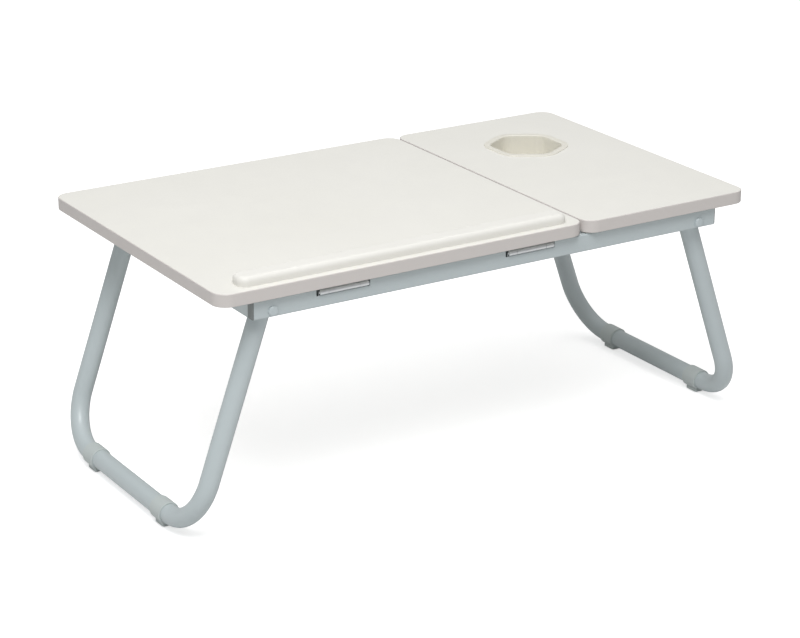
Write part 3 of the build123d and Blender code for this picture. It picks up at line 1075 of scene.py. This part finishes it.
@dataclass
class WeldBeads:
    """Fillet welds where the end bars and straps meet the rails.

    Attributes:
        shop: Where pieces are made.
        size: Radius of a bead.
        pitch: Distance between ripples.
        ripple: Depth of a ripple, as a share of the radius.
        around: Points round the bead.
    """

    shop: Shop
    size: float = 0.0016
    pitch: float = 0.0018
    ripple: float = 0.14
    around: int = 14

    def build(self) -> None:
        """Runs one bead in each inner corner of the frame."""
        for side in Side:
            lo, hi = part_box(f"{side.value}_end_bar")
            x = hi.x if side is Side.LEFT else lo.x
            for row, y in ((Row.FRONT, lo.y), (Row.BACK, hi.y)):
                name = f"{row.value}_{side.value}_corner_weld"
                self._bead(name, Vector((x, y, lo.z + 0.002)), Vector((x, y, hi.z - 0.003)))
        lo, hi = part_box("centre_strap")
        for row, y in ((Row.FRONT, lo.y), (Row.BACK, hi.y)):
            start, end = Vector((lo.x + 0.002, y, lo.z)), Vector((hi.x - 0.002, y, lo.z))
            self._bead(f"{row.value}_strap_weld", start, end)

    def _bead(self, name: str, start: Vector, end: Vector) -> None:
        """A rippled bead from start to end.

        Args:
            name: The piece's name.
            start: First point.
            end: Last point.
        """
        along = end - start
        length = along.length
        along.normalize()
        u = along.orthogonal().normalized()
        v = along.cross(u)
        count = max(12, int(length / self.pitch) * 6)
        rings = []
        for i in range(count + 1):
            d = length * i / count
            wave = 1.0 - self.ripple + self.ripple * abs(math.sin(math.pi * d / self.pitch))
            taper = min(1.0, math.sqrt(max(0.0, min(d, length - d)) / self.size + 0.02))
            radius = self.size * wave * taper
            rings.append(circle_ring(start + along * d, u, v, radius, self.around))
        self.shop.piece(name, rings, "powder_coat", "frame")


@dataclass(frozen=True)
class Lamp:
    """One square area lamp.

    Attributes:
        name: The lamp's name.
        place: Where it stands, in metres.
        size: Side of the square.
        power: Power in watts.
    """

    name: str
    place: tuple[float, float, float]
    size: float
    power: float


@dataclass
class Studio:
    """Floor, light and camera.

    Attributes:
        lens: Focal length in millimetres on a 36 mm sensor.
        azimuth: Camera azimuth in radians.
        elevation: Camera elevation in radians.
        roll: Camera roll in radians.
        eye: Camera position in metres.
        floor_reach: Half the side of the floor.
        floor_tone: Reflectance of the floor.
        floor_lift: Extra white that only the camera sees.
        surround: Strength of the surroundings as light.
        target: Point that the lamps face.
        lamps: The lamps.
    """

    lens: float = 107.638
    azimuth: float = -0.561122
    elevation: float = 0.357758
    roll: float = 0.003097
    eye: tuple[float, float, float] = (-1.216698, -1.933014, 0.968846)
    floor_reach: float = 30.0
    floor_tone: float = 0.78
    floor_lift: float = 0.62
    surround: float = 0.36
    target: tuple[float, float, float] = (0.0, 0.0, 0.15)
    lamps: tuple[Lamp, ...] = (
        Lamp("key_softbox", (-0.9, -1.2, 2.5), 1.4, 52.0),
        Lamp("overhead_softbox", (0.4, 0.6, 2.4), 1.8, 14.0),
    )

    def build(self) -> None:
        """Sets up everything around the object."""
        self._floor()
        self._world()
        self._lights()
        self._camera()

    def _floor(self) -> None:
        """A pale seamless floor that stays white to the camera."""
        r = self.floor_reach
        data = bpy.data.meshes.new("studio_floor")
        corners = [(-r, -r, 0), (r, -r, 0), (r, r, 0), (-r, r, 0)]
        data.from_pydata(corners, [], [(0, 1, 2, 3)])
        floor = bpy.data.objects.new("studio_floor", data)
        bpy.context.scene.collection.objects.link(floor)
        mat = bpy.data.materials.new("studio_floor_paper")
        mat.use_nodes = True
        tree = mat.node_tree
        bsdf = tree.nodes["Principled BSDF"]
        tone = self.floor_tone
        bsdf.inputs["Base Color"].default_value = (tone, tone, tone, 1)
        bsdf.inputs["Roughness"].default_value = 0.9
        bsdf.inputs["Specular IOR Level"].default_value = 0.1
        bsdf.inputs["Emission Color"].default_value = (1, 1, 1, 1)
        path = tree.nodes.new("ShaderNodeLightPath")
        lift = tree.nodes.new("ShaderNodeMath")
        lift.operation = "MULTIPLY"
        lift.inputs[1].default_value = self.floor_lift
        tree.links.new(path.outputs["Is Camera Ray"], lift.inputs[0])
        tree.links.new(lift.outputs[0], bsdf.inputs["Emission Strength"])
        data.materials.append(mat)
        floor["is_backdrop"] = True

    def _world(self) -> None:
        """White surroundings: full white to the camera, softer as light."""
        world = bpy.data.worlds.new("studio_surround")
        bpy.context.scene.world = world
        world.use_nodes = True
        tree = world.node_tree
        back = tree.nodes["Background"]
        back.inputs["Color"].default_value = (1.0, 1.0, 1.0, 1)
        path = tree.nodes.new("ShaderNodeLightPath")
        span = tree.nodes.new("ShaderNodeMapRange")
        span.inputs["To Min"].default_value = self.surround
        span.inputs["To Max"].default_value = 1.0
        tree.links.new(path.outputs["Is Camera Ray"], span.inputs["Value"])
        tree.links.new(span.outputs["Result"], back.inputs["Strength"])

    def _lights(self) -> None:
        """Large soft lamps, all aimed at the middle of the table."""
        target = Vector(self.target)
        for lamp_data in self.lamps:
            lamp = bpy.data.lights.new(lamp_data.name, "AREA")
            lamp.shape = "SQUARE"
            lamp.size = lamp_data.size
            lamp.energy = lamp_data.power
            obj = bpy.data.objects.new(lamp_data.name, lamp)
            place = Vector(lamp_data.place)
            obj.location = place
            obj.rotation_mode = "QUATERNION"
            obj.rotation_quaternion = (target - place).to_track_quat("-Z", "Y")
            bpy.context.scene.collection.objects.link(obj)

    def _camera(self) -> None:
        """The viewing camera."""
        a, e = self.azimuth, self.elevation
        back = Vector((math.sin(a) * math.cos(e), -math.cos(a) * math.cos(e), math.sin(e)))
        right = Vector((math.cos(a), math.sin(a), 0.0))
        up = back.cross(right)
        c, s = math.cos(self.roll), math.sin(self.roll)
        r, u = right * c + up * s, up * c - right * s
        data = bpy.data.cameras.new("studio_camera")
        data.lens = self.lens
        data.sensor_width = 36.0
        data.clip_end = 100.0
        cam = bpy.data.objects.new("studio_camera", data)
        turn = Matrix((r, u, back)).transposed()
        cam.matrix_world = Matrix.Translation(Vector(self.eye)) @ turn.to_4x4()
        bpy.context.scene.collection.objects.link(cam)
        bpy.context.scene.camera = cam
        bpy.context.scene.view_settings.view_transform = "Standard"


def clear_scene() -> None:
    """Removes the default objects."""
    for obj in list(bpy.data.objects):
        bpy.data.objects.remove(obj)


def main() -> dict[str, object]:
    """Builds the table in order.

    Returns:
        The CAD box and the visual model's box.
    """
    logging.basicConfig(level=logging.INFO, format="%(name)s: %(message)s")
    clear_scene()
    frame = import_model()
    cad_lo, cad_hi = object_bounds()
    shop = Shop(frame)
    shop.dress_frame(frame["record"])
    CupHolder(shop).build()
    for side in Side:
        FoldingLeg(shop, side).build()
    WeldBeads(shop).build()
    Studio().build()
    lo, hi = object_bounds()
    sizes = {"cad": [list(cad_lo), list(cad_hi)], "visual": [list(lo), list(hi)]}
    return sizes


if __name__ == "__main__":
    main()
